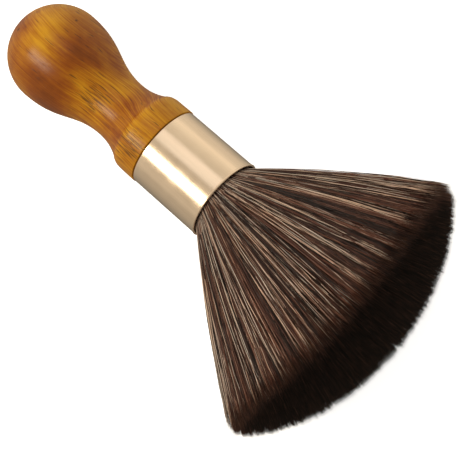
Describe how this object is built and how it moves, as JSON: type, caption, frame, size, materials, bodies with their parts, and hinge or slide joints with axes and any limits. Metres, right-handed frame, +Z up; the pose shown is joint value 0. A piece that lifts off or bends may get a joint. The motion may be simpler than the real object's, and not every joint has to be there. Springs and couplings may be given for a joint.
{
  "type": "neck duster brush",
  "caption": "Barber's neck duster: turned wooden ball handle with a waist, a gold metal tube, and a wide flattened fan of soft dark bristles, lying on its side.",
  "frame": {"origin": "on the surface the brush lies on, under the middle of its bounding box", "axes": "+X along the brush from the ball knob towards the bristle tips, +Z up, +Y across the fan; the brush is symmetric about y = 0"},
  "size_m": [0.1823, 0.1166, 0.0645],
  "materials": {
    "lacquered_wood": "gloss",
    "gold_metal": "polished",
    "adhesive": "satin",
    "black_plastic": "satin",
    "resin": "gloss",
    "thread": "matte",
    "bristles": "satin"
  },
  "bodies": {
    "root": {"wood_handle": "lacquered_wood", "ferrule": "gold_metal", "tenon_glue": "adhesive", "knot_cup": "black_plastic", "knot_resin": "resin", "spreader_plug": "black_plastic", "binding_thread": "thread", "bristle_head": "bristles"}
  },
  "joints": []
}
